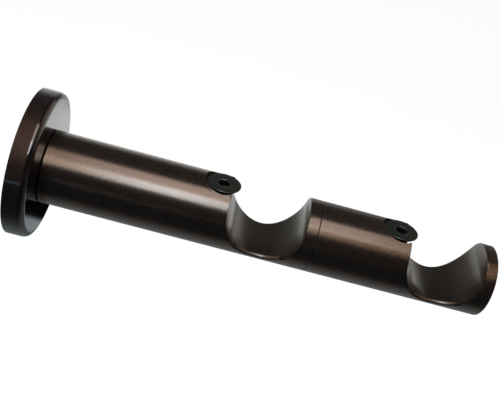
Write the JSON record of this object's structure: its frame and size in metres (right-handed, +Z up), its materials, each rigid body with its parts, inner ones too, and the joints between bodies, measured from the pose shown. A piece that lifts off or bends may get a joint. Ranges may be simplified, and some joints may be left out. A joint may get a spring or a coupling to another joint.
{
  "type": "curtain pole bracket",
  "caption": "Wall bracket for a double curtain rail: a round wall rosette and a round metal arm with a clamped pole saddle near its middle and another at its tip.",
  "frame": {"origin": "centre of the wall plate's back face, on the wall", "axes": "+X out of the wall along the arm, Y along the curtain poles, +Z up out of the saddles"},
  "size_m": [0.161, 0.05, 0.05],
  "materials": {
    "bronze_bar": "dark bronze plating, turned and brushed round the bar, lacquered",
    "bronze_rosette": "dark bronze plating, turned and brushed round the bar, lacquered",
    "black_screw": "black oxide",
    "zinc_plate": "bright zinc plating"
  },
  "bodies": {
    "root": {"wall_plate": "zinc_plate", "arm_spigot": "zinc_plate", "spigot_screw": "zinc_plate", "rosette": "bronze_rosette", "arm": "bronze_bar", "arm_lock_screw": "black_screw", "extension": "bronze_bar", "extension_lock_screw": "black_screw", "pole_clamp_screws": "black_screw"}
  },
  "joints": []
}
